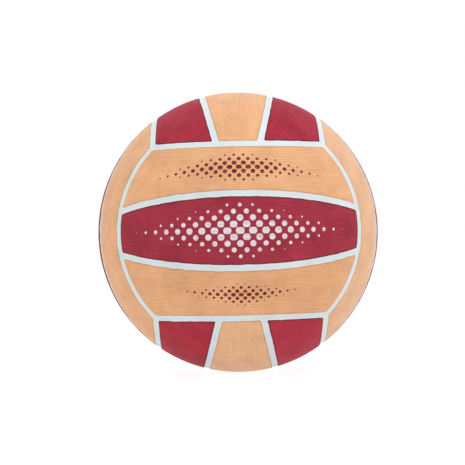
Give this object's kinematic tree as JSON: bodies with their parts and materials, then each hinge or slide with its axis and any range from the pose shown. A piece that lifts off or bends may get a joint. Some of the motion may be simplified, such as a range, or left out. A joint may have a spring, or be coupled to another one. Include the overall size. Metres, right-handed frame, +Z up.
{
  "type": "water polo ball",
  "caption": "Inflated rubber ball with moulded strip panels in a pale net of channels, over a wound bladder with a needle valve.",
  "frame": {"origin": "centre of the ball", "axes": "+Z up; -Y is the face that is seen, with its strips along X; +Y is the valve's axis, pointing out of the ball; +X to the viewer's right"},
  "size_m": [0.21, 0.2098, 0.21],
  "materials": {
    "panel_peach": "satin moulded rubber, fine grip ridges along each strip",
    "panel_red": "satin moulded rubber, fine grip ridges along each strip",
    "channel_strip": "smooth semi-gloss rubber",
    "carcass_rubber": "matt calendered rubber",
    "nylon_winding": "wound nylon thread, latex dipped",
    "butyl_bladder": "satin butyl rubber",
    "valve_rubber": "moulded rubber, smooth face",
    "plug_rubber": "soft self-sealing rubber",
    "patch_rubber": "matt butyl rubber"
  },
  "bodies": {
    "root": {"front_lower_panel": "panel_peach", "front_middle_panel": "panel_red", "front_upper_panel": "panel_peach", "back_lower_panel": "panel_peach", "back_middle_panel": "panel_red", "back_upper_panel": "panel_peach", "left_front_panel": "panel_peach", "left_middle_panel": "panel_red", "left_back_panel": "panel_peach", "right_front_panel": "panel_peach", "right_middle_panel": "panel_red", "right_back_panel": "panel_peach", "top_left_panel": "panel_red", "top_middle_panel": "panel_peach", "top_right_panel": "panel_red", "bottom_left_panel": "panel_red", "bottom_middle_panel": "panel_peach", "bottom_right_panel": "panel_red", "channel_net": "channel_strip", "carcass": "carcass_rubber", "thread_winding": "nylon_winding", "bladder": "butyl_bladder", "valve_body": "valve_rubber", "valve_plug": "plug_rubber", "balance_patch": "patch_rubber"}
  },
  "joints": []
}
